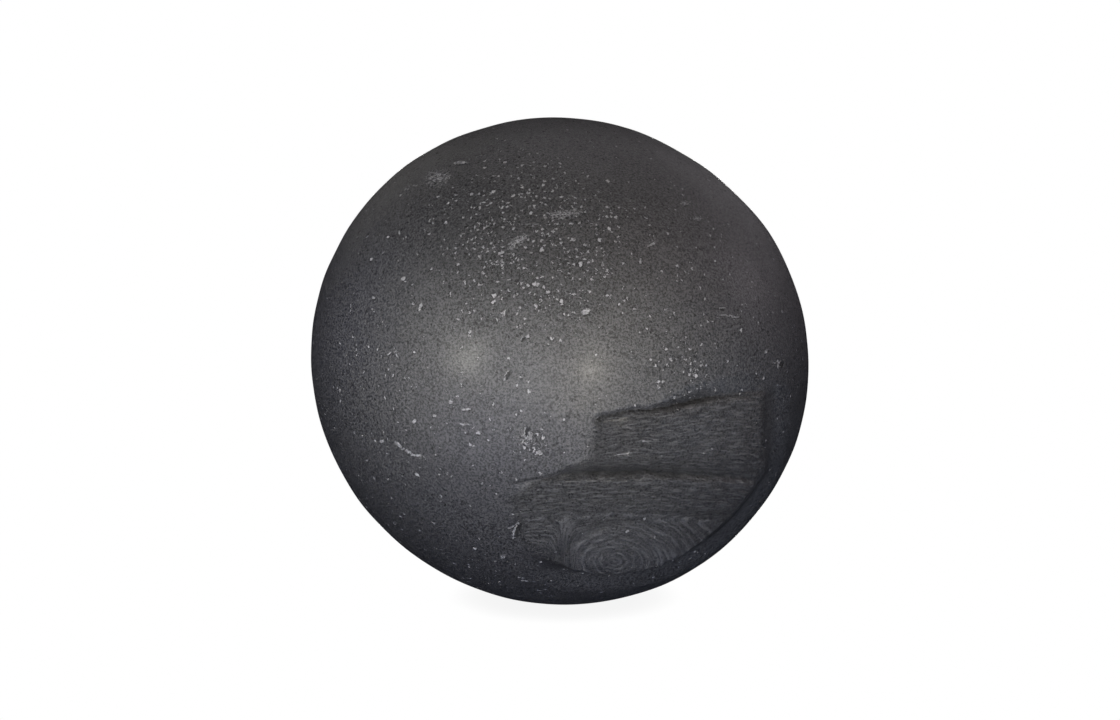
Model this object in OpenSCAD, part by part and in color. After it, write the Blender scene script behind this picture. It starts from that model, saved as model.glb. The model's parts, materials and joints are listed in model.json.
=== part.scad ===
// Medicine ball: a moulded rubber cover in two halves over a wound carcass and a butyl bladder
// that holds a loose iron-sand load, with a filler port and a needle valve at the back.
// Millimetres, +Z up, +Y towards the port. The origin is the middle of the base that it rests on.

/* [Ball] */
// Outer diameter of the ball
ball_d = 230; // [215:5:260]
// Thickness of the rubber cover
cover_t = 9.5; // [8:0.5:12]
// How far the ball's weight flattens its base
base_ease = 2.5; // [1.5:0.5:4]
// How far the crown has settled below a true sphere
crown_ease = 1.7; // [1:0.1:3]
// Radius of the settled crown
crown_r = 150; // [140:5:180]

/* [Worn hollow] */
// How far the creased side of the front has sunk in
hollow_ease = 3.5; // [2:0.5:5]
// Radius of the sunken skin
hollow_r = 137; // [134:1:150]
// Turn of the hollow from the front of the ball towards +X, in degrees
hollow_turn = 27; // [0:1:45]
// Slope of the hollow below the ball's middle, in degrees
hollow_dip = 28; // [0:1:40]

/* [Cover joint] */
// Length of the lap where the rear half reaches under the front half
lap_l = 6; // [4:1:10]
// Gap that the bond between the two halves fills
bond_gap = 0.1; // [0.05:0.01:0.2]
// Width of the tape that bridges the joint inside
strip_w = 30; // [20:1:40]
// Thickness of the joint tape and of the port patch
strip_t = 1.5; // [1:0.1:2]

/* [Carcass] */
// Thickness of the wound thread
winding_t = 1; // [0.6:0.1:2]
// Thickness of the bladder
bladder_t = 2.2; // [1.5:0.1:3]
// Gap between one layer and the next
layer_gap = 0.1; // [0.05:0.01:0.2]

/* [Filler port] */
// Radius of the neck's bore
neck_r = 11; // [9:0.5:12]
// Wall thickness of the neck
neck_wall = 5; // [3:0.5:6]
// Length of the neck, from the wound thread inwards
neck_l = 25; // [18:1:30]
// Radius of the flange that joins the neck to the bladder
flange_r = 22; // [19:0.5:23]
// Thickness of the flange
flange_t = 2.5; // [2:0.5:4]
// Radius of the patch round the port
patch_r = 28; // [24:1:32]
// Radius of the stopper's head
head_r = 13.5; // [12.5:0.5:15]
// Depth of the stopper's face below the ball's skin
head_sink = 0.4; // [0.2:0.1:1]
// Radius of the bulb that holds the stopper behind the neck
bulb_r = 12.6; // [12:0.1:14]
// Length of that bulb
bulb_l = 10; // [6:1:12]

/* [Needle valve] */
// Radius of the valve's mushroom head
valve_head_r = 5; // [4.5:0.5:6]
// Thickness of the valve's head
valve_head_t = 2.5; // [2:0.5:4]
// Radius of the valve's stem
valve_stem_r = 3.4; // [3:0.1:4]
// Length of the valve's stem
valve_stem_l = 26; // [20:1:30]
// Length of the valve's tapered tip
valve_tip_l = 3; // [2:0.5:4]
// Radius of the hole that the pump's needle enters
needle_r = 1.1; // [1:0.05:1.2]
// Length of that hole
needle_l = 14; // [10:1:18]
// Depth of the cone that guides the needle in
guide_l = 1; // [0.5:0.1:1.5]

/* [Load] */
// Depth of the sand's surface below the ball's middle
sand_drop = 24.8; // [24:0.1:60]
// Gap between the sand and the bladder
sand_gap = 0.3; // [0.3:0.1:1]

/* [Hidden] */
$fn = 128;

ball_r = ball_d / 2;
centre_z = ball_r - base_ease;
cover_in_r = ball_r - cover_t;
strip_out_r = cover_in_r + strip_t;
winding_out_r = cover_in_r - layer_gap;
winding_in_r = winding_out_r - winding_t;
bladder_out_r = winding_in_r - layer_gap;
bladder_in_r = bladder_out_r - bladder_t;
flange_out_r = bladder_in_r - layer_gap;
lap_r = ball_r - cover_t / 2;
neck_out_r = neck_r + neck_wall;
neck_end = winding_out_r - neck_l;
stem_r = neck_r - layer_gap;
face_r = ball_r - head_sink;
valve_seat = face_r - valve_head_t;
valve_end = valve_seat - valve_stem_l;
duct_r = 2.2;
tip_r = 1.6;
bulb_end_r = 9;
guide_r = needle_r + 0.9;
span = 2 * ball_d;

// Moves its children to the middle of the ball and turns their +Z towards the port
module along_port() {
    translate([0, 0, centre_z]) rotate([-90, 0, 0]) children();
}

// A spherical layer between two radii
module layer(outer, inner) {
    difference() {
        sphere(r = outer);
        sphere(r = inner);
    }
}

// A straight-sided plug along the port, from one reach to another
module port_cylinder(radius, from, to) {
    translate([0, 0, from]) cylinder(r = radius, h = to - from);
}

// A flat slab square to the port's axis, from one reach to another
module slab(from, to) {
    translate([-span / 2, -span / 2, from]) cube([span, span, to - from]);
}

// A large sphere that trims the ball by depth where it bulges most along +Z
module easing_sphere(radius, depth) {
    translate([0, 0, ball_r - depth - radius]) sphere(r = radius);
}

// The ball's outer form: a sphere with its base, crown and worn side eased
module outer_form() {
    intersection() {
        sphere(r = ball_r);
        rotate([90, 0, 0]) easing_sphere(crown_r, crown_ease);
        rotate([0, -hollow_turn, 0]) rotate([180 + hollow_dip, 0, 0])
            easing_sphere(hollow_r, hollow_ease);
        translate([-span / 2, centre_z - span, -span / 2]) cube(span);
    }
}

// The space inside the cover, with the tape's groove and the patch's recess
module cover_inside() {
    sphere(r = cover_in_r);
    intersection() {
        sphere(r = strip_out_r);
        union() {
            slab(-strip_w / 2 - layer_gap, strip_w / 2 + layer_gap);
            port_cylinder(patch_r + layer_gap, 0, ball_r);
        }
    }
}

// Front half of the moulded cover, which laps over the rear half
module cover_front() {
    color("#29292b") along_port() difference() {
        intersection() {
            outer_form();
            slab(-ball_d, -bond_gap / 2);
        }
        cover_inside();
        intersection() {
            sphere(r = lap_r + bond_gap / 2);
            slab(-lap_l - bond_gap / 2, lap_l);
        }
    }
}

// Rear half of the moulded cover, with the opening of the filler port
module cover_rear() {
    color("#242426") along_port() difference() {
        union() {
            intersection() {
                outer_form();
                slab(bond_gap / 2, ball_d);
            }
            intersection() {
                sphere(r = lap_r - bond_gap / 2);
                slab(-lap_l + bond_gap / 2, lap_l);
            }
        }
        cover_inside();
        port_cylinder(head_r + layer_gap, 0, ball_d);
    }
}

// Tape that bridges the joint of the two halves inside the cover
module seam_strip() {
    color("#55524a") along_port() intersection() {
        layer(strip_out_r - layer_gap, cover_in_r);
        slab(-strip_w / 2, strip_w / 2);
    }
}

// Washer of rubberised fabric round the port, inside the cover
module port_patch() {
    color("#6a655a") along_port() difference() {
        intersection() {
            layer(strip_out_r - layer_gap, cover_in_r);
            port_cylinder(patch_r, 0, ball_r);
        }
        port_cylinder(neck_r, 0, ball_r);
    }
}

// Carcass of wound thread, open round the neck
module thread_winding() {
    color("#b9b39f") along_port() difference() {
        layer(winding_out_r, winding_in_r);
        port_cylinder(neck_out_r + layer_gap, 0, ball_r);
    }
}

// Bladder that holds the load and the air, open round the neck
module bladder() {
    color("#1c1a1a") along_port() difference() {
        layer(bladder_out_r, bladder_in_r);
        port_cylinder(neck_out_r + layer_gap, 0, ball_r);
    }
}

// Neck through which the load goes in, with the flange that joins it to the bladder
module filler_neck() {
    color("#3a3835") along_port() difference() {
        union() {
            intersection() {
                layer(flange_out_r, flange_out_r - flange_t);
                port_cylinder(flange_r, 0, ball_r);
            }
            intersection() {
                port_cylinder(neck_out_r, neck_end, ball_r);
                sphere(r = winding_out_r);
            }
        }
        port_cylinder(neck_r, 0, ball_r);
    }
}

// Stopper with a flush head, a stem, a bulb behind the neck and a seat for the valve
module filler_bung() {
    bulb_top = neck_end - layer_gap;
    color("#202022") along_port() difference() {
        union() {
            intersection() {
                difference() {
                    port_cylinder(head_r, 0, ball_r);
                    sphere(r = strip_out_r);
                }
                sphere(r = face_r);
            }
            port_cylinder(stem_r, bulb_top - 1, strip_out_r + 1);
            translate([0, 0, bulb_top - bulb_l])
                cylinder(r1 = bulb_end_r, r2 = bulb_r, h = bulb_l * 0.6);
            port_cylinder(bulb_r, bulb_top - bulb_l * 0.4, bulb_top);
        }
        port_cylinder(valve_head_r + layer_gap, valve_seat - layer_gap, ball_r);
        port_cylinder(valve_stem_r + layer_gap, valve_end - valve_tip_l - 1, ball_r);
        port_cylinder(duct_r, 0, ball_r);
    }
}

// Self-sealing needle valve: mushroom head, stem and tapered tip, with the needle's hole
module valve_insert() {
    needle_end = face_r - guide_l - needle_l;
    color("#4a4a4c") along_port() difference() {
        intersection() {
            union() {
                port_cylinder(valve_head_r, valve_seat, ball_r);
                port_cylinder(valve_stem_r, valve_end, valve_seat + 1);
                translate([0, 0, valve_end - valve_tip_l])
                    cylinder(r1 = tip_r, r2 = valve_stem_r, h = valve_tip_l);
            }
            sphere(r = face_r);
        }
        port_cylinder(needle_r, needle_end, ball_r);
        translate([0, 0, face_r - guide_l]) cylinder(r1 = needle_r, r2 = guide_r, h = guide_l);
    }
}

// Loose iron-sand load, lying level in the lower part of the bladder
module sand_fill() {
    color("#5b5148") along_port() difference() {
        sphere(r = bladder_in_r - sand_gap);
        translate([-span / 2, sand_drop - span, -span / 2]) cube(span);
    }
}

cover_front();
cover_rear();
seam_strip();
port_patch();
thread_winding();
bladder();
filler_neck();
filler_bung();
valve_insert();
sand_fill();
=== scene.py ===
"""Looks for the medicine ball: dense moulded-rubber skins with the worn, creased hollow in their
mesh, procedural materials for every piece, and a pale studio with tinted lights. The shapes are
worked out in mm from the ball's middle, and the stage is in metres."""

import json
import math

import bmesh
import bpy
import numpy as np
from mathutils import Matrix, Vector

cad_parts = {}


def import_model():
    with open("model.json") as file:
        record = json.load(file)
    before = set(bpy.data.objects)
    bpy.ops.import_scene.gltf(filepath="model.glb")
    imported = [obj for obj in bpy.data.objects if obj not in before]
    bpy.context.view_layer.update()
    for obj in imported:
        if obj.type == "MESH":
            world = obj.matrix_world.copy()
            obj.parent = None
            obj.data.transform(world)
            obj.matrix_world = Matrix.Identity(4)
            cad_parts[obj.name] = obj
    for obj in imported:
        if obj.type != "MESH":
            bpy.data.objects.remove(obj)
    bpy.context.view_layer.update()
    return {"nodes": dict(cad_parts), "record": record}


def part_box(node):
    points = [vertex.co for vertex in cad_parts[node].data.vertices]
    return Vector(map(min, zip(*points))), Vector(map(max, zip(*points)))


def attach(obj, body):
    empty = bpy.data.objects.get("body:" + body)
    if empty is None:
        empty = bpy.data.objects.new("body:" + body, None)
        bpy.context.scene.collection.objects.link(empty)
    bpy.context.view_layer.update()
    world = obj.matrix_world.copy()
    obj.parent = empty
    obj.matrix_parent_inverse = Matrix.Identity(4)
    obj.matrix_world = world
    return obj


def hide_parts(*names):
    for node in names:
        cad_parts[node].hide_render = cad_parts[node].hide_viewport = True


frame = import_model()

# ---------------------------------------------------------------- sizes from the frame, in mm
MM = 0.001
valve_mount = next(m for m in frame["record"]["mounts"] if m["name"] == "needle_valve")
CENTRE_Z = valve_mount["pos_m"][2] / MM
BALL_R = (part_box("cover_front")[1][0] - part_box("cover_front")[0][0]) / 2 / MM
CARCASS_R = (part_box("seam_strip")[1][0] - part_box("seam_strip")[0][0]) / 2 / MM
STRIP_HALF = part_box("seam_strip")[1][1] / MM
PATCH_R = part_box("port_patch")[1][0] / MM
BUNG_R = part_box("filler_bung")[1][0] / MM
LAP_L = -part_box("cover_rear")[0][1] / MM
# The skins keep this far from the pieces under them, and this far from each other.
CLEARANCE = 0.1
GAP = 0.05
SKIN_IN_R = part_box("thread_winding")[1][0] / MM + CLEARANCE
GROOVE_R = CARCASS_R + CLEARANCE
LAP_R = (BALL_R + SKIN_IN_R) / 2

# ---------------------------------------------------------------- the view of the worn side
VIEW_RISE = math.radians(10)
VIEW_DISTANCE = 1450
RIGHT = np.array([1.0, 0.0, 0.0])
UP = np.array([0.0, math.sin(VIEW_RISE), math.cos(VIEW_RISE)])
TOWARDS = np.array([0.0, -math.cos(VIEW_RISE), math.sin(VIEW_RISE)])


def face_place(points):
    """Where a viewer in front sees each point, in mm right of and above the ball's middle."""
    depth = 1 - points @ TOWARDS / VIEW_DISTANCE
    return points @ RIGHT / depth, points @ UP / depth


def ease(x, low, high):
    """0 below low, 1 above high, and a smooth rise between."""
    t = np.clip((x - low) / (high - low), 0, 1)
    return t * t * (3 - 2 * t)


def unit(v):
    """Each row as a direction."""
    return v / np.linalg.norm(v, axis=1)[:, None]


def wave(x, length, phase):
    """A sine wave of the given length along x."""
    return np.sin(x * 2 * math.pi / length + phase)


def lumps(d, seed, wavelength):
    """Smooth unevenness between about -1 and 1, from a few plane waves on the ball."""
    rng = np.random.default_rng(seed)
    total = np.zeros(len(d))
    for _ in range(9):
        way = unit(rng.normal(size=(1, 3)))[0]
        length = wavelength / rng.uniform(0.7, 1.3)
        total += wave(d @ way * BALL_R, length, rng.uniform(0, 6.3))
    return total / 3.2


# ---------------------------------------------------------------- the ball's overall form
LONG_AXIS_TILT = math.radians(24)
OUT_OF_ROUND = 0.013
SLACK = 0.997
CROWN_DROP = 0.8
SHOULDER = np.array([0.62, 0.0, 0.785])
SHOULDER_DROP = 0.9
BASE_BLEND = 1.2


def soft_shape(d):
    """Radius in mm along each direction: a slack ball, a little longer along a tilted axis."""
    along = d @ np.array([math.cos(LONG_AXIS_TILT), 0, -math.sin(LONG_AXIS_TILT)])
    across = d @ np.array([math.sin(LONG_AXIS_TILT), 0, math.cos(LONG_AXIS_TILT)])
    radius = BALL_R * (SLACK + OUT_OF_ROUND * (along**2 - across**2))
    crown = ease(d[:, 2], 0.55, 1.0)
    shoulder = ease(d @ SHOULDER, 0.93, 1.0)
    return radius - CROWN_DROP * crown - SHOULDER_DROP * shoulder


# ---------------------------------------------------------------- the creases of the worn side
# Each crease runs left to right through points of (right, up, depth, width above, width below), in
# mm as the viewer sees them: the widths say how far the skin slopes into it from either side. The
# places were read off enlarged pictures of the ball and scaled to mm.
CREASES = {
    "upper": [
        (20, -33, 0.2, 1.0, 1.5),
        (17.5, -29.5, 1.8, 1.4, 2.2),
        (20, -26.5, 2.0, 1.4, 2.4),
        (32, -24, 1.9, 1.8, 2.2),
        (47, -23, 2.3, 3.0, 2.2),
        (56, -21.5, 3.5, 6.0, 2.2),
        (64, -19.5, 3.8, 8.0, 2.4),
        (73, -17.5, 2.4, 8.0, 2.6),
        (84, -16, 1.4, 9.0, 3.0),
        (94, -15, 0.6, 8.0, 3.0),
    ],
    "middle": [
        (-27, -59, 0.1, 1.0, 1.4),
        (-16, -57, 1.0, 1.6, 1.6),
        (-6, -56, 1.6, 2.5, 1.8),
        (3, -55, 2.7, 5.0, 2.0),
        (14, -54.5, 3.7, 8.0, 2.2),
        (35, -54, 3.8, 9.0, 2.2),
        (60, -54.5, 2.8, 9.0, 2.2),
        (80, -55.5, 2.0, 9.0, 2.2),
        (94, -56.5, 1.2, 10.0, 2.2),
    ],
    "lower": [
        (-18, -84, 0.3, 1.5, 1.5),
        (-21, -79, 2.0, 2.2, 2.8),
        (-19, -76, 1.3, 2.0, 1.8),
        (-10, -73.5, 0.6, 2.5, 1.6),
        (4, -71.5, 0.4, 3.0, 1.6),
        (20, -73, 0.1, 3.0, 1.6),
    ],
    "lobe": [
        (-1, -92, 0.2, 2.0, 2.0),
        (4, -87, 1.0, 3.5, 2.2),
        (11, -81.5, 1.3, 4.5, 2.2),
        (22, -77.5, 1.2, 4.5, 2.0),
        (34, -75.5, 0.8, 4.5, 2.0),
        (50, -74.5, 0.4, 4.0, 2.0),
        (72, -73.5, 0.1, 4.0, 2.0),
    ],
}
# The mesh follows the bottoms of these two, for places nearer to them than the snap in mm.
SNAPPED = ("upper", "middle")
SNAP = 0.34
# Raised lines between the creases, as (right, up, height, width above, width below).
RIDGES = [
    [(-17, -76.5, 0.1, 1, 1.4), (-8, -74.5, 0.5, 1, 1.4), (3, -72, 0.3, 1, 1.4), (12, -72, 0.1, 1, 1.4)],
    [(-14, -59, 0.1, 1, 1.4), (8, -58, 0.3, 1, 1.6), (50, -58, 0.25, 1, 1.6), (92, -58.5, 0.5, 1, 1.6)],
    [(44, -63, 0.1, 1, 1.6), (66, -60.5, 0.5, 1, 1.6), (92, -62, 0.4, 1, 1.6)],
    [(24, -46.5, 0.2, 1, 2), (30, -45, 0.6, 1, 2), (37, -42, 0.2, 1, 2)],
    [(34, -38.5, 0.1, 1, 1.6), (42, -37.5, 0.4, 1, 1.6), (50, -38, 0.1, 1, 1.6)],
    [(66, -21.5, 0.2, 1.2, 2.4), (78, -19, 0.5, 1.2, 2.4), (93.5, -17, 0.5, 1.2, 2.4)],
    [(36, -28.5, 0.1, 1, 2), (52, -26.5, 0.4, 1, 2), (68, -24, 0.2, 1, 2)],
]
SMOOTH_STEPS = 5
# Between and below the creases the skin swells in two rolls and a lobe. All the worn side is sunk.
FIRST_ROLL_H = 1.3
SECOND_ROLL_H = 0.8
SECOND_ROLL_W = 15
FOLD_W = 32
ROLL_FULLNESS = 0.6
LOBE_PLACE = (28, -86)
LOBE_HALF = (38, 10.5)
RINGS_PLACE = (25, -92)
RINGS_STRETCH = 1.9
LEAN_BELOW = -74
LEAN = 0.14
SUNK = 1.3
# The worn side stops at a standing edge, upright on the right and an arc below. Past it the skin
# dips into a trough, whose lengths are measured along the skin.
BORDER_RIGHT = 94.3
BORDER_CENTRE = (21, -17)
BORDER_R = 81
BANK_H = 0.8
BANK_W = 5
TROUGH_DEPTH = 3.4
TROUGH_FALL = 12
TROUGH_RISE = 17
# Painted shade in the folds and the trough is full at this depth in mm.
FULL_SHADE_DEPTH = 3.5


def smooth_run(points):
    """Rows of a crease with a smooth curve through its points."""
    rows = np.array(points, float)
    padded = np.concatenate([2 * rows[:1] - rows[1:2], rows, 2 * rows[-1:] - rows[-2:-1]])
    t = np.arange(SMOOTH_STEPS)[:, None] / SMOOTH_STEPS
    spans = []
    for before, start, stop, after in zip(padded, padded[1:], padded[2:], padded[3:]):
        bend = (2 * before - 5 * start + 4 * stop - after) * t**2
        twist = (3 * start - before - 3 * stop + after) * t**3
        spans.append(start + ((stop - before) * t + bend + twist) / 2)
    return np.concatenate(spans + [rows[-1:]])


RUNS = {name: smooth_run(points) for name, points in CREASES.items()}
RIDGE_RUNS = [smooth_run(points) for points in RIDGES]
UPPER_LINE = RUNS["upper"][2 * SMOOTH_STEPS :]


def beside(a, b, rows):
    """From a line to each place: the offset, the signed distance above it, and its values there."""
    best = np.full(a.shape, 1e9)
    signed = np.zeros_like(a)
    offset = np.zeros((len(a), 2))
    values = np.zeros((len(a), 3))
    for start, stop in zip(rows[:-1], rows[1:]):
        run = stop[:2] - start[:2]
        t = np.clip(((a - start[0]) * run[0] + (b - start[1]) * run[1]) / (run @ run), 0, 1)
        da, db = a - start[0] - t * run[0], b - start[1] - t * run[1]
        away = np.hypot(da, db)
        nearer = away < best
        best = np.where(nearer, away, best)
        side = np.sign(run[0] * db - run[1] * da)
        signed = np.where(nearer, away * side, signed)
        offset = np.where(nearer[:, None], np.column_stack([da, db]), offset)
        here = start[2:] + t[:, None] * (stop[2:] - start[2:])
        values = np.where(nearer[:, None], here, values)
    return offset, signed, values


def line_relief(a, b, rows):
    """How far one crease or ridge departs from the skin at each place, in mm."""
    _, signed, values = beside(a, b, rows)
    above = np.clip(1 - signed / values[:, 1], 0, 1) ** 1.3
    below = 1 - ease(-signed, 0, values[:, 2])
    return values[:, 0] * np.where(signed > 0, above, below)


def border_inside(a, b):
    """Distance in mm inside the standing edge of the worn side, negative outside it."""
    arc = BORDER_R - np.hypot(a - BORDER_CENTRE[0], b - BORDER_CENTRE[1])
    return np.minimum(BORDER_RIGHT - a, arc)


def along_skin(r):
    """How far along a round skin each place lies from the middle of the face, in mm."""
    angle = np.linspace(0, math.acos(BALL_R / VIEW_DISTANCE), 400)
    seen = BALL_R * np.sin(angle) / (1 - BALL_R * np.cos(angle) / VIEW_DISTANCE)
    return BALL_R * np.interp(r, seen, angle)


def past_border(a, b, d):
    """How far past the standing edge each place lies, in mm along the skin."""
    r = np.maximum(np.hypot(a, b), 1)
    part = (a * BORDER_CENTRE[0] + b * BORDER_CENTRE[1]) / r
    centre_off = BORDER_CENTRE[0] ** 2 + BORDER_CENTRE[1] ** 2
    arc = part + np.sqrt(BORDER_R**2 - centre_off + part**2)
    upright = BORDER_RIGHT * r / np.maximum(a, 1)
    return BALL_R * np.arccos(np.clip(d @ TOWARDS, -1, 1)) - along_skin(np.minimum(arc, upright))


def line_height(a, rows):
    """Height of a crease's line at each place across the face."""
    return np.interp(a, rows[:, 0], rows[:, 1])


def upright_part(b):
    """0 by the arc of the standing edge and 1 by its upright part."""
    return ease(b, -66, -44)


def edge_softness(b):
    """Half the breadth in mm of the standing edge's slope: crisp along the arc, soft when upright."""
    return 0.9 + 1.8 * upright_part(b)


def worn_area(a, b):
    """1 in the drawn, roughened rubber of the worn side and 0 outside it."""
    left = np.interp(b, (-92, -84, -64, -57, -52, -46, -30), (-8, -21, -24, -12, 4, 13, 16))
    below = line_height(a, UPPER_LINE) - b
    inside = border_inside(a, b) / edge_softness(b)
    return ease(below, -1, 1.5) * ease(a - left, -3, 6) * ease(inside, -1.0, 0.6)


def flow_lines(a, b):
    """Places along and across the rubber's flow, which follows the folds and swirls in the lobe."""
    upper, middle = line_height(a, UPPER_LINE), line_height(a, RUNS["middle"])
    between = FOLD_W * (b - middle) / (upper - middle)
    across = np.where(b > middle, between, b - middle)
    ring = np.hypot((a - RINGS_PLACE[0]) / RINGS_STRETCH, b - RINGS_PLACE[1])
    in_lobe = ease(-b, 70, 78) * ease(a, -8, 8)
    return a, across * (1 - in_lobe) - ring * in_lobe


def streak_lines(along, across):
    """Drawn-out ridges between about -1 and 1 that follow the flow."""
    rng = np.random.default_rng(21)
    total = np.zeros(len(along))
    for apart in (2.3, 3.1, 4.3, 6.1, 8.3):
        sway = rng.uniform(1.0, 1.8) * wave(along, rng.uniform(23, 60), rng.uniform(0, 6.3))
        fade = wave(along, rng.uniform(13, 40), rng.uniform(0, 6.3))
        total += fade * wave(across, apart, sway + rng.uniform(0, 6.3))
    return total / 2


def roll_relief(a, b):
    """Height in mm of the two rolls, the lobe and the lean below them, and the lobe's share of it."""
    upper, middle = line_height(a, UPPER_LINE), line_height(a, RUNS["middle"])
    fall = np.clip((upper - b) / np.maximum(upper - middle, 1), 0, 1)
    first_roll = FIRST_ROLL_H * np.sin(math.pi * fall**ROLL_FULLNESS) * ease(a, 17, 34)
    fall = np.clip((middle - 1.5 - b) / SECOND_ROLL_W, 0, 1)
    second_roll = SECOND_ROLL_H * np.sin(math.pi * fall**ROLL_FULLNESS) * ease(a, -22, 6)
    right, up = (a - LOBE_PLACE[0]) / LOBE_HALF[0], (b - LOBE_PLACE[1]) / LOBE_HALF[1]
    lobe = np.exp(-((right**2 + up**2) ** 2))
    leaning = LEAN * np.clip(LEAN_BELOW - b, 0, 30) * ease(a, -14, 12)
    return first_roll + second_roll + lobe + leaning, lobe


def worn_relief(a, b, d):
    """Height of the worn side's folds in mm, how deep the painted shade of its folds and trough is,
    and how raised it is, which pales the crests as wear and painted highlight.
    """
    inside = border_inside(a, b)
    edge_on = ease(-b, 10, 18) * ease(a, -20, 8)
    in_edge = np.where(edge_on > 0, ease(inside / edge_softness(b), -1, 1), 1)

    cuts = sum(line_relief(a, b, rows) for rows in RUNS.values()) * (1 - edge_on * (1 - in_edge))
    ridges = sum(line_relief(a, b, rows) for rows in RIDGE_RUNS) * in_edge
    ridges *= 0.7 + 0.5 * lumps(d, 31, 11)

    rolls, lobe = roll_relief(a, b)
    bank = BANK_H * np.exp(-np.maximum(inside, 0) / BANK_W)
    raised = in_edge * (rolls + edge_on * bank) + ridges

    past = past_border(a, b, d)
    trough = ease(past, -1, TROUGH_FALL) - ease(past, TROUGH_FALL - 1, TROUGH_FALL + TROUGH_RISE)
    trough *= TROUGH_DEPTH * edge_on * (1 - 0.6 * upright_part(b))
    # painted shade: a dark band in the trough just past the standing edge
    trough_shade = edge_on * (ease(past, -1, 2) - ease(past, 5, TROUGH_FALL + 2))
    shade_depth = cuts + trough_shade * (4 - 2.8 * upright_part(b))
    return raised - trough - cuts - SUNK * worn_area(a, b), shade_depth, ridges + 0.4 * lobe * in_edge


def stirred(a, b, d):
    """Places moved a little to and fro, which makes every line uneven."""
    return a + 0.5 * lumps(d, 12, 9), b + 0.45 * lumps(d, 13, 7)


def onto_creases(d):
    """Moves the directions close beside a sharp crease onto it, so that its bottom is a clean line."""
    for name in SNAPPED:
        a, b = stirred(*face_place(d * soft_shape(d)[:, None]), d)
        offset, signed, _ = beside(a, b, RUNS[name])
        caught = ((np.abs(signed) < SNAP) & (d @ TOWARDS > 0.1))[:, None]
        moved = unit(d * BALL_R - offset[:, :1] * RIGHT - offset[:, 1:] * UP)
        d = np.where(caught, moved, d)
    return d


# ---------------------------------------------------------------- knocks, chips and dust
# Knocks on the front, as (right, up, turn, length, width): the place is in mm as the viewer sees it,
# the turn in degrees, and the size in mm.
TORN_FLAKES = [
    (-46, 92, 5, 7, 1.8),
    (-65, 25, 70, 5, 1.7),
    (-73, 38, 40, 3, 2),
    (-87, 29, 20, 2, 1.6),
    (-26, 22, 70, 3.5, 1.8),
    (12, 22.5, 30, 4.5, 3),
    (-15, 11, 40, 3, 1.8),
    (-27, 46, 80, 3, 1.6),
    (-37, 48, 80, 3, 1.3),
    (6, 56, 10, 3, 1.8),
    (43, 54, 30, 4.5, 1.3),
    (37.5, 46, 85, 3, 1.4),
    (20, 44.5, 85, 3, 1.4),
    (76, 21, 0, 4.5, 1.1),
    (82, 20, 0, 4, 1),
    (96, 4, 60, 2.6, 1.5),
    (-44, -23, 8, 5.5, 1.4),
    (-44.7, -30, -5, 6, 1.3),
    (-38, -34, 0, 2.6, 2.4),
    (-51, -19.5, 0, 2.2, 2.2),
    (-58.5, -26, -20, 2.4, 1.8),
    (-68, -28.5, 30, 2.4, 2),
    (-83, -38, 0, 2.2, 2),
    (-75.5, -39.5, -45, 5, 1.6),
    (-71, -42.7, -35, 4, 1.8),
    (-66, -44.5, 0, 5, 1.4),
    (-79.5, 3, 35, 3.5, 1),
    (-76, 2, -60, 3.5, 1),
    (-13.5, -35.5, 70, 4, 2),
    (-10, -43, 0, 2.4, 2.2),
    (-26.7, -91.6, 20, 3.2, 2.5),
    (-23, -78.4, 0, 4, 1),
    (30, -44, 12, 8, 0.8),
    (41, -38, 6, 6, 0.7),
]
DUSTY_SCUFFS = [
    (1.8, 68, 8, 18, 5),
    (-20, 55, 35, 13, 5),
    (-57, 85, 10, 14, 9),
    (58, 73, 0, 5, 3),
    (64, 66, 0, 5, 2.4),
    (-16, -36.5, 60, 9, 6),
]
CUTS = [
    (-24.7, -7, 65, 6, 2),
    (-16, -33, 80, 6.5, 2),
    (-17.5, 10, 60, 3.4, 1.6),
    (18, -28, 60, 4, 2.4),
    (102.4, -2, 80, 4, 3),
    (75.5, 24, 10, 3.5, 1.6),
    (-20.5, -80, 70, 8, 3),
]
# Fields of small chips, as (right, up, radius where thick, radius where gone).
CHIP_FIELDS = [(-14, 54, 18, 54), (58, -3, 4, 22), (-13, -38, 3, 14)]
CHIPS_ELSEWHERE = 0.1
# How far round a mark its own coordinates are kept, in halves of its size.
MARK_REACH = 3


def mark_places(a, b, marks):
    """Where each place is within its nearest mark, in half lengths and half widths, and how near."""
    found = np.zeros((len(a), 3))
    for right, up, turn, length, width in marks:
        cos, sin = math.cos(math.radians(turn)), math.sin(math.radians(turn))
        along = ((a - right) * cos + (b - up) * sin) * 2 / length
        across = ((b - up) * cos - (a - right) * sin) * 2 / width
        near = MARK_REACH - np.hypot(along, across)
        found = np.where((near > found[:, 2])[:, None], np.column_stack([along, across, near]), found)
    return found


def chip_share(a, b, facing):
    """How thickly small chips lie at each place."""
    fields = [
        1 - ease(np.hypot(a - right, b - up), thick, gone) for right, up, thick, gone in CHIP_FIELDS
    ]
    return CHIPS_ELSEWHERE + (1 - CHIPS_ELSEWHERE) * facing * np.maximum.reduce(fields)


# ---------------------------------------------------------------- the skins' meshes
FRONT_GRID = 168
SEGMENTS = 4 * FRONT_GRID
REAR_RINGS = 128
FRONT_INNER_RINGS = 13
REAR_INNER_RINGS = 10
# The front mesh is drawn together towards the worn side.
PULL = 0.5
PULL_TOWARDS = np.array([0.42, -0.78, -0.46])
PULL_TOWARDS /= np.linalg.norm(PULL_TOWARDS)
# Depths, heights and widths of the moulding line, the unevenness, the streaks and the port's rim.
SEAM_GROOVE = 0.35
SEAM_GROOVE_W = 0.7
LUMPS = 0.22
STREAK_H = 0.1
RIM_H = 0.5
RIM_W = 5.5
RIM_SLOPE = 1.2
RIM_FROM_BUNG = 3.2
LIP_R = 0.8


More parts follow.
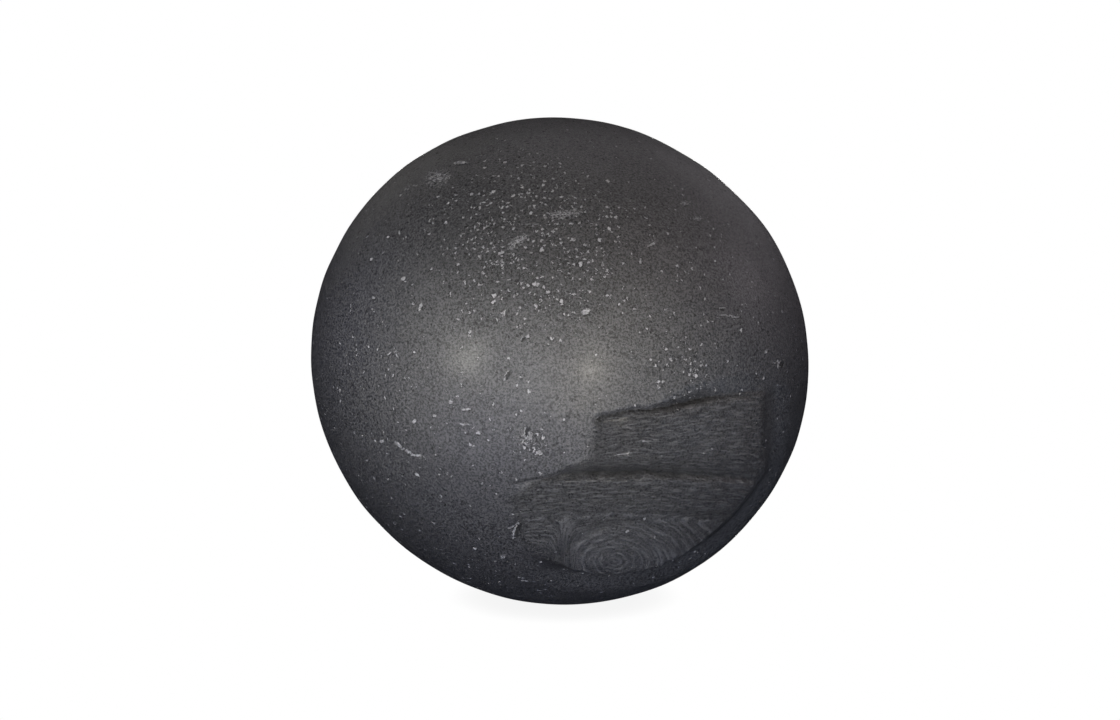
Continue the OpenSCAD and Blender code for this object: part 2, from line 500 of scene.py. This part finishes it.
def skin_points(d):
    """The skin's outer surface along each direction, in mm from the middle, and its attributes."""
    radius = soft_shape(d) + LUMPS * lumps(d, 4, 70) + 0.4 * LUMPS * lumps(d, 9, 24)
    a, b = face_place(d * radius[:, None])
    along, across = flow_lines(a, b)
    facing = ease(d @ TOWARDS, 0.02, 0.16)
    worn = worn_area(a, b) * facing
    relief, shade_depth, raised = worn_relief(*stirred(a, b, d), d)
    drawn = STREAK_H * streak_lines(along, across) + 0.12 * lumps(d, 17, 6)
    groove = SEAM_GROOVE * np.exp(-((d[:, 1] * BALL_R / SEAM_GROOVE_W) ** 2))
    points = settle(d * (radius + relief * facing + drawn * worn - groove)[:, None])
    # painted shade in the creases and in the trough past the standing edge
    painted_shade = np.clip(shade_depth / FULL_SHADE_DEPTH, 0, 1) * facing
    return points, {
        "flow": np.column_stack([along, across, worn]),
        # painted shade, the share of chips, and the rise that pales the crests as wear and painted
        # highlight
        "wear_and_painted_light": np.column_stack([painted_shade, chip_share(a, b, facing), raised * facing]),
        "flakes": mark_places(a, b, TORN_FLAKES) * (facing > 0)[:, None],
        "scuffs": mark_places(a, b, DUSTY_SCUFFS) * (facing > 0)[:, None],
        "cuts": mark_places(a, b, CUTS) * (facing > 0)[:, None],
    }


def settle(points):
    """Presses the base flat on the floor, with a rounded edge."""
    height = points[:, 2] + CENTRE_Z
    rounded = (height + BASE_BLEND) ** 2 / (4 * BASE_BLEND)
    pressed = np.where(height > BASE_BLEND, height, np.where(height > -BASE_BLEND, rounded, 0))
    return np.column_stack([points[:, :2], pressed - CENTRE_Z])


def front_grid(n):
    """Directions and quads of half a cube drawn out onto the front: a face and four half faces."""
    full = np.tan(np.linspace(-math.pi / 4, math.pi / 4, n + 1))
    half = np.tan(np.linspace(-math.pi / 4, 0, n // 2 + 1))
    patches = []
    u, v = np.meshgrid(full, full, indexing="ij")
    patches.append((np.stack([u, -np.ones_like(u), v], -1), False))
    w, h = np.meshgrid(full, half, indexing="ij")
    one = np.ones_like(w)
    patches.append((np.stack([one, h, w], -1), True))
    patches.append((np.stack([-one, h, w], -1), False))
    patches.append((np.stack([w, h, one], -1), False))
    patches.append((np.stack([w, h, -one], -1), True))
    points, quads, base = [], [], 0
    for grid, flip in patches:
        rows, columns = grid.shape[:2]
        index = np.arange(rows * columns).reshape(rows, columns) + base
        corners = [index[:-1, :-1], index[1:, :-1], index[1:, 1:], index[:-1, 1:]]
        quad = np.stack(corners, -1).reshape(-1, 4)
        quads.append(quad[:, ::-1] if flip else quad)
        points.append(grid.reshape(-1, 3))
        base += rows * columns
    points, quads = unit(np.concatenate(points)), np.concatenate(quads)
    _, first, place = np.unique(np.round(points, 6), axis=0, return_index=True, return_inverse=True)
    return points[first], place.reshape(-1)[quads]


def draw_together(d):
    """Moves directions towards the worn side, so that its mesh is finer, and leaves the seam alone."""
    part = (d @ PULL_TOWARDS)[:, None]
    sideways = d - part * PULL_TOWARDS
    strength = PULL * np.exp(-((1 - part) / 0.5)) * ease(-d[:, 1:2], 0.0, 0.35)
    return unit(d - strength * sideways)


def circle(radius, y):
    """One ring of points round the port's axis, matching the front grid's seam."""
    turn = np.arange(SEGMENTS) * 2 * math.pi / SEGMENTS
    return np.column_stack([radius * np.cos(turn), np.full(SEGMENTS, y), radius * np.sin(turn)])


def ring_quads(first, second):
    """Quads between two rings of point numbers."""
    return np.stack([first, np.roll(first, -1), np.roll(second, -1), second], -1)


def on_sphere(radius, y):
    """Distance from the port's axis of a ring at y on a sphere."""
    return math.sqrt(radius**2 - y**2)


def shell_mesh(name, outer, quads, attributes, loop, rings, last_loop=None):
    """Closes a skin with rings from its edge loop to its last loop, or to a point at the front."""
    points = [outer]
    faces = [quads]
    count = len(outer)
    last = loop
    for radius, y in rings:
        ring = np.arange(SEGMENTS) + count
        points.append(circle(radius, y))
        faces.append(ring_quads(last, ring))
        last = ring
        count += SEGMENTS
    if last_loop is not None:
        faces.append(ring_quads(last, last_loop))
    polygons = np.concatenate(faces).tolist()
    if last_loop is None:
        points.append(np.array([[0, -SKIN_IN_R, 0]]))
        polygons += [[p, q, count] for p, q in zip(last.tolist(), np.roll(last, -1).tolist())]
        count += 1
    place = np.concatenate(points) * MM + np.array([0, 0, CENTRE_Z * MM])
    mesh = bpy.data.meshes.new(name)
    mesh.from_pydata(place.tolist(), [], polygons)
    for key, values in attributes.items():
        filled = np.zeros((count, 3), np.float32)
        filled[: len(values)] = values
        mesh.attributes.new(key, "FLOAT_VECTOR", "POINT").data.foreach_set("vector", filled.ravel())
    shaper = bmesh.new()
    shaper.from_mesh(mesh)
    bmesh.ops.recalc_face_normals(shaper, faces=shaper.faces)
    shaper.to_mesh(mesh)
    shaper.free()
    mesh.shade_smooth()
    mesh.set_sharp_from_angle(angle=math.radians(55))
    piece = bpy.data.objects.new(name, mesh)
    bpy.context.scene.collection.objects.link(piece)
    return piece


def front_skin():
    """The front half of the cover, closed by its lap, the tape's groove and its inner face."""
    d, quads = front_grid(FRONT_GRID)
    seam = np.flatnonzero(np.abs(d[:, 1]) < 1e-6)
    turn = np.round(np.arctan2(d[seam, 2], d[seam, 0]) / (2 * math.pi) * SEGMENTS) % SEGMENTS
    loop = seam[np.argsort(turn)]
    outer, attributes = skin_points(onto_creases(draw_together(d)))
    edge = STRIP_HALF + CLEARANCE
    rings = [(LAP_R + GAP, -GAP), (LAP_R + GAP, -LAP_L - GAP)]
    rings += [(on_sphere(GROOVE_R, LAP_L), -LAP_L - GAP), (on_sphere(GROOVE_R, STRIP_HALF), -edge)]
    steps = np.linspace(math.asin(edge / SKIN_IN_R), math.pi / 2, FRONT_INNER_RINGS + 1)[:-1]
    rings += [(SKIN_IN_R * math.cos(step), -SKIN_IN_R * math.sin(step)) for step in steps]
    return shell_mesh("cover_front_skin", outer, quads, attributes, loop, rings)


def rear_skin():
    """The rear half of the cover, with the port's raised rim and rounded mouth."""
    hole = BUNG_R + CLEARANCE
    mouth = math.asin((hole + LIP_R) / BALL_R)
    slope = mouth + (math.pi / 2 - mouth) * np.linspace(0, 1, REAR_RINGS + 1) ** 1.15
    turn = np.arange(SEGMENTS) * 2 * math.pi / SEGMENTS
    s, t = np.meshgrid(slope, turn, indexing="ij")
    d = np.stack([np.sin(s) * np.cos(t), np.cos(s), np.sin(s) * np.sin(t)], -1).reshape(-1, 3)
    outer, attributes = skin_points(d)
    from_axis = np.hypot(outer[:, 0], outer[:, 2])
    from_rim = np.abs(from_axis - BUNG_R - RIM_FROM_BUNG)
    rim = RIM_H * (1 - ease(from_rim, RIM_W / 2 - RIM_SLOPE, RIM_W / 2))
    outer = outer + d * rim[:, None]
    index = np.arange(len(d)).reshape(REAR_RINGS + 1, SEGMENTS)
    quads = np.concatenate([ring_quads(p, q) for p, q in zip(index[:-1], index[1:])])
    outer[index[-1], 1] = GAP
    edge = STRIP_HALF + CLEARANCE
    patch_edge = PATCH_R + CLEARANCE
    rings = [(LAP_R - GAP, GAP), (on_sphere(LAP_R - GAP, LAP_L), -LAP_L + GAP)]
    rings += [(on_sphere(GROOVE_R, LAP_L), -LAP_L + GAP), (GROOVE_R, 0.0)]
    rings += [(on_sphere(GROOVE_R, STRIP_HALF), edge)]
    start, stop = math.asin(edge / SKIN_IN_R), math.acos(patch_edge / SKIN_IN_R)
    steps = np.linspace(start, stop, REAR_INNER_RINGS)
    rings += [(SKIN_IN_R * math.cos(step), SKIN_IN_R * math.sin(step)) for step in steps]
    rings += [(patch_edge, on_sphere(GROOVE_R, PATCH_R)), (hole, on_sphere(GROOVE_R, hole))]
    mouth_y = outer[index[0], 1].mean()
    rings += [(hole, mouth_y - LIP_R), (hole + 0.24 * LIP_R, mouth_y - 0.35 * LIP_R)]
    return shell_mesh("cover_rear_skin", outer, quads, attributes, index[-1], rings, index[0])


# ---------------------------------------------------------------- materials
class Surface:
    """A Principled material and short calls that add and join its nodes."""

    def __init__(self, name, **values):
        self.material = bpy.data.materials.new(name)
        self.material.use_nodes = True
        self.tree = self.material.node_tree
        self.shader = self.tree.nodes["Principled BSDF"]
        for socket, value in values.items():
            self.shader.inputs[socket.replace("_", " ")].default_value = value
        coord = self.node("ShaderNodeTexCoord")
        centred = self.node("ShaderNodeMapping")
        centred.inputs["Location"].default_value = (0, 0, -CENTRE_Z)
        centred.inputs["Scale"].default_value = (1 / MM, 1 / MM, 1 / MM)
        self.join(coord.outputs["Object"], centred.inputs["Vector"])
        self.place = centred.outputs["Vector"]

    def node(self, kind, **settings):
        """A new node with the given settings."""
        made = self.tree.nodes.new(kind)
        for key, value in settings.items():
            setattr(made, key, value)
        return made

    def join(self, source, target):
        """Links an output to a socket, or sets the socket to a plain value."""
        if isinstance(source, (int, float, tuple)):
            target.default_value = source
        else:
            self.tree.links.new(source, target)

    def math(self, operation, *values, clamp=False):
        """One Math node on numbers."""
        made = self.node("ShaderNodeMath", operation=operation, use_clamp=clamp)
        for socket, value in zip(made.inputs, values):
            self.join(value, socket)
        return made.outputs[0]

    def noise(self, scale, detail=3, roughness=0.5, vector=None):
        """Noise whose features are about 1 / scale mm across."""
        made = self.node("ShaderNodeTexNoise")
        self.join(vector or self.place, made.inputs["Vector"])
        made.inputs["Scale"].default_value = scale
        made.inputs["Detail"].default_value = detail
        made.inputs["Roughness"].default_value = roughness
        return made.outputs["Fac"]

    def noise_vector(self, scale):
        """Noise that differs along each axis, centred on 0, to break up edges with."""
        made = self.node("ShaderNodeTexNoise")
        self.join(self.place, made.inputs["Vector"])
        made.inputs["Scale"].default_value = scale
        return self.vector("SUBTRACT", made.outputs["Color"], (0.5, 0.5, 0.5))

    def vector(self, operation, *values, result="Vector"):
        """One Vector Math node."""
        made = self.node("ShaderNodeVectorMath", operation=operation)
        for socket, value in zip(made.inputs, values):
            self.join(value, socket)
        return made.outputs[result]

    def cells(self, size, place):
        """Cells of a size in mm: the distance from each one's middle, and three numbers of its own."""
        made = self.node("ShaderNodeTexVoronoi")
        made.inputs["Scale"].default_value = 1 / size
        self.join(place, made.inputs["Vector"])
        chance = self.node("ShaderNodeSeparateColor")
        self.join(made.outputs["Color"], chance.inputs["Color"])
        return [made.outputs["Distance"], *chance.outputs]

    def specks(self, size, share, small, large, place):
        """Scattered dots, in a share of cells of a size in mm: 1 in a dot's middle, 0 outside."""
        distance, first, second, _ = self.cells(size, place)
        radius = self.span(second, 0, 1, small, large)
        dot = self.math("SUBTRACT", 1.0, self.math("DIVIDE", distance, radius), clamp=True)
        return self.math("MULTIPLY", dot, self.math("LESS_THAN", first, share))

    def span(self, value, low, high, to_low=0.0, to_high=1.0):
        """Maps low..high to to_low..to_high, smoothly, and holds the ends."""
        made = self.node("ShaderNodeMapRange", interpolation_type="SMOOTHSTEP")
        for socket, number in zip(made.inputs, (value, low, high, to_low, to_high)):
            self.join(number, socket)
        return made.outputs["Result"]

    def mix(self, part, first, second):
        """The first colour where the part is 0 and the second where it is 1."""
        made = self.node("ShaderNodeMix", data_type="RGBA")
        colours = [s for s in made.inputs if s.type == "RGBA"]
        self.join(part, made.inputs["Factor"])
        for socket, colour in zip(colours, (first, second)):
            self.join((*colour, 1.0) if isinstance(colour, tuple) else colour, socket)
        return [s for s in made.outputs if s.type == "RGBA"][0]

    def attribute(self, name):
        """One of the values that the skins' meshes carry."""
        return self.node("ShaderNodeAttribute", attribute_name=name).outputs["Vector"]

    def split(self, vector):
        """The three numbers of a vector."""
        made = self.node("ShaderNodeSeparateXYZ")
        self.join(vector, made.inputs["Vector"])
        return made.outputs[:]

    def finish(self, colour, roughness, height):
        """Joins the colour, the roughness and a relief in mm to the shader."""
        bump = self.node("ShaderNodeBump")
        bump.inputs["Distance"].default_value = MM
        bump.inputs["Strength"].default_value = 1.0
        self.join(height, bump.inputs["Height"])
        self.join(colour, self.shader.inputs["Base Color"])
        self.join(roughness, self.shader.inputs["Roughness"])
        self.join(bump.outputs["Normal"], self.shader.inputs["Normal"])
        return self.material


# The dark side of a mark, painted shade beside a flake and inside a cut, lies this part of its half
# width above its pale side.
DARK_SIDE = 0.45


def inside_mark(s, name, stir, aside=0.0):
    """1 in the middle of a mark of the named kind, or beside it, falling to 0 at its broken edge."""
    place = s.attribute(name)
    flat = s.vector("MULTIPLY_ADD", place, (1, 1, 0), (0, aside, 0))
    ragged = s.vector("MULTIPLY_ADD", stir, (1.8, 1.8, 0), flat)
    depth = s.math("SUBTRACT", 1.0, s.vector("LENGTH", ragged, result="Value"), clamp=True)
    nearby = s.math("GREATER_THAN", s.split(place)[2], 0.5)
    return s.math("MULTIPLY", depth, nearby)


def rubber_chips(s, share, creased, stir):
    """Small pale chips, and painted shade in the pits round and beside them."""
    share = s.math("MULTIPLY", share, s.span(s.noise(0.11, 3, 0.6), 0.35, 0.65, 0.2, 1.0))
    share = s.math("MULTIPLY", share, s.math("MULTIPLY_ADD", creased, -0.85, 1.0))
    ragged = s.vector("MULTIPLY_ADD", stir, (2.8, 2.8, 2.8), s.place)
    shifted = s.vector("ADD", ragged, (0, 0, 0.6))
    fine = s.specks(1.7, s.math("MULTIPLY", share, 0.9), 0.3, 0.62, ragged)
    large = s.specks(4.2, s.math("MULTIPLY", share, 0.7), 0.15, 0.35, ragged)
    chips = s.math("MAXIMUM", s.span(fine, 0.2, 0.5, 0.0, 0.9), s.span(large, 0.2, 0.45))
    holes = s.specks(1.3, s.math("MULTIPLY_ADD", share, 0.5, 0.1), 0.25, 0.5, shifted)
    pit_shade = s.span(s.math("MAXIMUM", s.math("MAXIMUM", fine, large), holes), 0.0, 0.2)
    return chips, pit_shade


def rubber_knocks(s, grain, leather, stir):
    """Torn flakes and the painted shade on their dark side, the rims of the cuts and the painted shade
    inside them, and scuffs.
    """
    torn = s.span(leather, 0.38, 0.6, 0.4, 1.0)
    flakes = s.math("MULTIPLY", s.span(inside_mark(s, "flakes", stir), 0.0, 0.4), torn)
    shaded = s.span(inside_mark(s, "flakes", stir, DARK_SIDE), 0.0, 0.3, 0.0, 0.9)
    rims = s.span(inside_mark(s, "cuts", stir), 0.05, 0.3, 0.0, 0.8)
    cut_shade = s.span(inside_mark(s, "cuts", stir, DARK_SIDE), 0.1, 0.4)
    wiped = s.noise(1.0, 3, 0.6, s.vector("MULTIPLY", s.attribute("scuffs"), (2.2, 4.5, 0)))
    scuffs = s.span(inside_mark(s, "scuffs", stir), 0.0, 0.6)
    scuffs = s.math("MULTIPLY", scuffs, s.span(s.math("ADD", wiped, grain), 0.88, 1.12))
    return flakes, shaded, rims, cut_shade, scuffs


def cover_rubber():
    """Satin black rubber: fine grain, chips and dust, drawn-out streaks on the worn side, knocks."""
    s = Surface("cover_rubber", Specular_IOR_Level=0.5, Coat_Weight=0.1, Coat_Roughness=0.3)
    crease_shade, share, raised = s.split(s.attribute("wear_and_painted_light"))
    creased = s.split(s.attribute("flow"))[2]
    grain = s.noise(1.05, 3, 0.75)
    pores = s.noise(2.4, 2, 0.7)
    leather = s.noise(0.4, 4, 0.65)
    patches = s.noise(0.06, 4, 0.55)
    stir = s.noise_vector(0.9)

    chips, pit_shade = rubber_chips(s, share, creased, stir)
    flakes, shaded, rims, cut_shade, scuffs = rubber_knocks(s, grain, leather, stir)
    kinks = s.vector("MULTIPLY", stir, (0.5, 1.3, 0))
    lines = s.vector("MULTIPLY_ADD", s.attribute("flow"), (0.14, 1.1, 0), kinks)
    drawn = s.math("MULTIPLY", s.noise(1.0, 4, 0.7, lines), creased)

    pale = s.math("MAXIMUM", s.math("MAXIMUM", chips, flakes), rims)
    pale = s.math("MAXIMUM", pale, s.math("MULTIPLY", scuffs, 0.85))
    tone = s.mix(s.span(grain, 0.36, 0.64), (0.003, 0.003, 0.004), (0.073, 0.073, 0.075))
    streaks = s.span(drawn, 0.48, 0.6)
    tone = s.mix(s.math("MULTIPLY", streaks, 0.62), tone, (0.135, 0.135, 0.14))
    dark = s.math("MAXIMUM", pit_shade, shaded)
    # painted shade in the pits and on the dark sides of the flakes
    tone = s.mix(s.math("MULTIPLY", dark, 0.9), tone, (0.005, 0.005, 0.005))
    # paler crests of the ridges and the lobe: partly wear, partly painted highlight
    crest_wear_and_highlight = s.math("MULTIPLY", s.span(raised, 0.05, 0.7), s.math("MULTIPLY_ADD", streaks, 0.36, 0.2))
    tone = s.mix(crest_wear_and_highlight, tone, (0.16, 0.16, 0.165))
    # painted shade: the creases and the trough past the standing edge go nearly black
    tone = s.mix(s.math("MULTIPLY", crease_shade, 0.88), tone, (0.004, 0.004, 0.005))
    tone = s.mix(s.math("MULTIPLY", pale, 0.85), tone, (0.36, 0.36, 0.37))
    # painted shade inside the cuts
    tone = s.mix(cut_shade, tone, (0.008, 0.008, 0.008))

    matte = s.span(patches, 0.3, 0.7, -0.03, 0.03)
    matte = s.math("ADD", s.span(pores, 0.3, 0.7, 0.48, 0.34), matte)
    matte = s.math("MULTIPLY_ADD", dark, 0.3, matte)
    matte = s.math("MULTIPLY_ADD", creased, 0.1, matte)
    matte = s.math("MULTIPLY_ADD", crease_shade, 0.3, matte)
    matte = s.math("MULTIPLY_ADD", s.math("MAXIMUM", pale, cut_shade), 0.15, matte)

    relief = s.math("MULTIPLY_ADD", pores, 0.16, s.math("MULTIPLY", grain, 0.4))
    relief = s.math("MULTIPLY_ADD", leather, s.math("MULTIPLY_ADD", creased, 0.7, 0.15), relief)
    relief = s.math("MULTIPLY_ADD", drawn, 3.0, relief)
    relief = s.math("MULTIPLY_ADD", pale, 0.45, relief)
    relief = s.math("MULTIPLY_ADD", dark, -0.25, relief)
    relief = s.math("MULTIPLY_ADD", cut_shade, -0.8, relief)
    return s.finish(tone, matte, relief)


def woven_height(s, u, v, thread):
    """Height from 0 to 1 of a plain weave of threads of the given width in mm, along u and v."""
    u, v = s.math("MULTIPLY", u, math.pi / thread), s.math("MULTIPLY", v, math.pi / thread)
    sin_u, cos_u = s.math("SINE", u), s.math("COSINE", u)
    sin_v, cos_v = s.math("SINE", v), s.math("COSINE", v)
    warp = s.math("ADD", s.math("ABSOLUTE", sin_u), s.math("MULTIPLY", sin_u, cos_v))
    weft = s.math("SUBTRACT", s.math("ABSOLUTE", sin_v), s.math("MULTIPLY", sin_v, cos_u))
    return s.math("MULTIPLY", s.math("MAXIMUM", warp, weft), 0.5)


CLOTH_THREAD_W = 0.8


def proofed_cloth(name, wraps):
    """Rubber-proofed cotton tape: a plain weave with painted shade in its gaps, and rubber smeared over
    it.
    """
    s = Surface(name, Sheen_Weight=0.2)
    x, y, z = s.split(s.place)
    around = s.math("MULTIPLY", s.math("ARCTAN2", z, x), CARCASS_R)
    height = woven_height(s, *((around, y) if wraps else (x, z)), CLOTH_THREAD_W)
    smear = s.span(s.noise(0.12, 4, 0.6), 0.45, 0.62)
    # painted shade: darker where the weave lies low, in its gaps
    tone = s.mix(height, (0.035, 0.033, 0.03), (0.15, 0.14, 0.115))
    tone = s.mix(s.math("MULTIPLY", smear, 0.8), tone, (0.02, 0.02, 0.021))
    relief = s.math("MULTIPLY_ADD", smear, -0.08, s.math("MULTIPLY", height, 0.16))
    return s.finish(tone, s.span(smear, 0, 1, 0.85, 0.55), relief)


THREAD_W = 0.7
THREAD_WAYS = [
    (0.97, 0.2, 0.14),
    (-0.35, 0.9, 0.27),
    (0.2, -0.45, 0.87),
    (0.6, 0.55, -0.58),
    (-0.5, 0.3, 0.81),
]


def wound_thread():
    """Nylon thread wound on in every direction, with patches of one layer over another, and painted
    shade between the strands.
    """
    s = Surface("nylon_thread", Sheen_Weight=0.3)
    top = 0.0
    for number, way in enumerate(THREAD_WAYS):
        along = s.vector("DOT_PRODUCT", s.place, way, result="Value")
        strand = s.math("ABSOLUTE", s.math("SINE", s.math("MULTIPLY", along, math.pi / THREAD_W)))
        moved = s.vector("ADD", s.place, (0, 0, 300 * number))
        layer = s.math("MULTIPLY", s.noise(0.05, 3, 0.6, moved), 6)
        top = s.math("MAXIMUM", s.math("ADD", strand, layer), top)
    depth = s.span(s.math("FRACT", top), 0, 1)
    # painted shade: darker where a strand dips between its neighbours
    tone = s.mix(depth, (0.24, 0.22, 0.165), (0.52, 0.49, 0.395))
    tone = s.mix(s.span(s.noise(0.08, 4, 0.6), 0.5, 0.7, 0.0, 0.5), tone, (0.12, 0.105, 0.08))
    return s.finish(tone, s.span(depth, 0, 1, 0.7, 0.5), s.math("MULTIPLY", top, 0.22))


def talced_butyl():
    """Black butyl with talc left on it in soft patches."""
    s = Surface("bladder_butyl")
    talc = s.span(s.noise(0.07, 5, 0.65), 0.45, 0.75)
    grain = s.noise(1.6, 4, 0.65)
    talc = s.math("MULTIPLY", talc, s.span(grain, 0.35, 0.6))
    tone = s.mix(s.math("MULTIPLY", talc, 0.6), (0.016, 0.0145, 0.0145), (0.3, 0.29, 0.27))
    relief = s.math("MULTIPLY_ADD", s.noise(0.25, 3, 0.5), 0.12, s.math("MULTIPLY", grain, 0.05))
    return s.finish(tone, s.span(talc, 0, 1, 0.42, 0.85), relief)


def turned_rubber(name, dark, light, ring, worn_r):
    """Moulded rubber with the fine rings of its mould round the port's axis, and dust by the middle."""
    s = Surface(name)
    from_axis = s.vector("LENGTH", s.vector("MULTIPLY", s.place, (1, 0, 1)), result="Value")
    rings = s.math("SINE", s.math("MULTIPLY", from_axis, 2 * math.pi / ring))
    grain = s.noise(1.4, 4, 0.65)
    dust = s.math("MULTIPLY", s.span(grain, 0.45, 0.7), s.span(s.noise(0.3, 3, 0.6), 0.4, 0.7))
    worn = s.span(from_axis, worn_r, worn_r + 1.2, 0.7, 0.0)
    tone = s.mix(s.span(grain, 0.3, 0.7), dark, light)
    tone = s.mix(s.math("MULTIPLY", dust, 0.45), tone, (0.2, 0.195, 0.19))
    tone = s.mix(s.math("MULTIPLY", worn, dust), tone, (0.28, 0.27, 0.25))
    relief = s.math("MULTIPLY_ADD", rings, 0.012, s.math("MULTIPLY", grain, 0.14))
    return s.finish(tone, s.span(dust, 0, 1, 0.42, 0.7), relief)


GRAIN_SIZE = 0.8


def iron_sand():
    """Coarse iron sand: rounded grains, each with its own brown or grey face, and a share painted bright
    as glints.
    """
    s = Surface("iron_sand", Metallic=0.3)
    distance, first, second, third = s.cells(GRAIN_SIZE, s.place)
    tone = s.mix(first, (0.035, 0.03, 0.026), (0.125, 0.105, 0.09))
    # painted glint: a share of the grains turned bright
    tone = s.mix(s.span(second, 0.8, 0.9), tone, (0.24, 0.23, 0.22))
    tone = s.mix(s.span(s.noise(0.08, 3, 0.6), 0.5, 0.7, 0.0, 0.6), tone, (0.16, 0.085, 0.05))
    return s.finish(tone, s.span(third, 0, 1, 0.35, 0.8), s.math("MULTIPLY", distance, -0.6))


# ---------------------------------------------------------------- the pieces
rubber = cover_rubber()
for skin, node in ((front_skin(), "cover_front"), (rear_skin(), "cover_rear")):
    skin.data.materials.append(rubber)
    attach(skin, "ball")
    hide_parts(node)

butyl = talced_butyl()
LOOKS = {
    "seam_strip": proofed_cloth("seam_tape", wraps=True),
    "port_patch": proofed_cloth("patch_cloth", wraps=False),
    "thread_winding": wound_thread(),
    "bladder": butyl,
    "filler_neck": butyl,
    "filler_bung": turned_rubber("bung_rubber", (0.011, 0.011, 0.012), (0.034, 0.034, 0.036), 1.1, 4.5),
    "valve_insert": turned_rubber("valve_rubber", (0.045, 0.045, 0.048), (0.1, 0.1, 0.105), 0.7, 1.5),
    "sand_fill": iron_sand(),
}
for node, look in LOOKS.items():
    for slot in frame["nodes"][node].material_slots:
        slot.material = look


# ---------------------------------------------------------------- stage, lights and camera
SHADE_REACH = 0.012
SHADE_DARKEST = 0.9
SENSOR_W = 36
LENS = 100
LIGHT_DISTANCE = 1.6
BEAM_RADIUS = 0.06
BEAM_ANGLE = 7.2
BEAM_BLEND = 0.4
# The lights' powers and colours aren't a design made by hand. Another program fitted them to a
# picture of the ball by least squares, and they were then averaged, rounded and changed.
# Beams as (name, turn, rise, power, colour), turned from the front in degrees.
BEAMS = [
    ("beam_left", -40.5, 9, 82, (1, 0.98, 0.89)),
    ("beam_right", 14, 5, 86, (1, 0.94, 0.82)),
]
# Soft lights as (name, turn, rise, size, power, colour).
LIGHTS = [
    ("between", -12, 2, 0.5, 9, (0.94, 0.97, 1)),
    ("low_left", -40, -22, 0.9, 4.8, (0.6, 0.64, 1)),
    ("low_middle", -10, -22, 0.9, 6.2, (0.72, 0.75, 1)),
    ("low_right", 60, -22, 0.9, 6.2, (0.6, 0.73, 1)),
    ("high_right", 60, 50, 0.9, 2.8, (1, 0.82, 0.78)),
    ("top", 0, 85, 1.2, 2, (1, 0.95, 0.95)),
    ("crown", 180, 56, 0.9, 2.2, (0.98, 0.94, 1)),
    ("left", -100, 10, 0.9, 1.8, (0.56, 0.58, 1)),
    ("right", 108, 21, 0.5, 2.8, (1, 0.88, 0.96)),
    ("back_left", -148, 25, 0.9, 1, (1, 0.97, 0.93)),
    ("back_right", 148, 25, 0.9, 1.2, (1, 0.95, 1)),
    ("back", 180, -9, 0.5, 14, (1, 0.98, 0.96)),
]


def stage_floor():
    """A white glowing floor with a painted contact shadow, a little darker close under the ball."""
    bpy.ops.mesh.primitive_plane_add(size=12)
    floor = bpy.context.object
    floor.name = "stage_floor"
    white = Surface("stage_white")
    # painted contact shadow: ambient occlusion darkens the floor's glow close under the ball
    near = white.node("ShaderNodeAmbientOcclusion")
    near.inputs["Distance"].default_value = SHADE_REACH
    glow = white.node("ShaderNodeEmission")
    white.join(white.span(near.outputs["AO"], 0, 1, SHADE_DARKEST, 1), glow.inputs["Color"])
    white.join(glow.outputs["Emission"], white.tree.nodes["Material Output"].inputs["Surface"])
    floor.data.materials.append(white.material)
    floor.visible_diffuse = False
    floor.visible_glossy = False
    floor.visible_shadow = False


def put_light(name, light, turn, rise):
    """Sets a light at a turn and rise from the front of the ball, in degrees, facing it."""
    lamp = bpy.data.objects.new(name, light)
    t, r = math.radians(turn), math.radians(rise)
    way = Vector((math.sin(t) * math.cos(r), -math.cos(t) * math.cos(r), math.sin(r)))
    lamp.location = Vector((0, 0, CENTRE_Z * MM)) + way * LIGHT_DISTANCE
    lamp.rotation_euler = way.to_track_quat("Z", "Y").to_euler()
    bpy.context.scene.collection.objects.link(lamp)


def area_light(name, turn, rise, size, power, colour):
    """A square soft light."""
    light = bpy.data.lights.new(name, "AREA")
    light.size = size
    light.energy = power
    light.color = colour
    put_light(name, light, turn, rise)


def beam_light(name, turn, rise, power, colour):
    """A small light whose beam is too narrow to glare on the far edges of the ball."""
    light = bpy.data.lights.new(name, "SPOT")
    light.shadow_soft_size = BEAM_RADIUS
    light.spot_size = math.radians(BEAM_ANGLE)
    light.spot_blend = BEAM_BLEND
    light.energy = power
    light.color = colour
    put_light(name, light, turn, rise)


def camera():
    """The camera at the viewer's place, facing the ball's middle."""
    made = bpy.data.cameras.new("camera")
    made.sensor_width = SENSOR_W
    made.lens = LENS
    eye = bpy.data.objects.new("camera", made)
    way = Vector(TOWARDS)
    eye.location = Vector((0, 0, CENTRE_Z * MM)) + way * VIEW_DISTANCE * MM
    eye.rotation_euler = way.to_track_quat("Z", "Y").to_euler()
    bpy.context.scene.collection.objects.link(eye)
    bpy.context.scene.camera = eye


def world():
    """A white surround that only the camera sees."""
    made = bpy.data.worlds.new("studio")
    made.use_nodes = True
    made.node_tree.nodes["Background"].inputs["Color"].default_value = (1, 1, 1, 1)
    made.cycles_visibility.diffuse = False
    made.cycles_visibility.glossy = False
    bpy.context.scene.world = made


stage_floor()
camera()
world()
for beam in BEAMS:
    beam_light(*beam)
for light in LIGHTS:
    area_light(*light)
bpy.context.scene.view_settings.view_transform = "Standard"
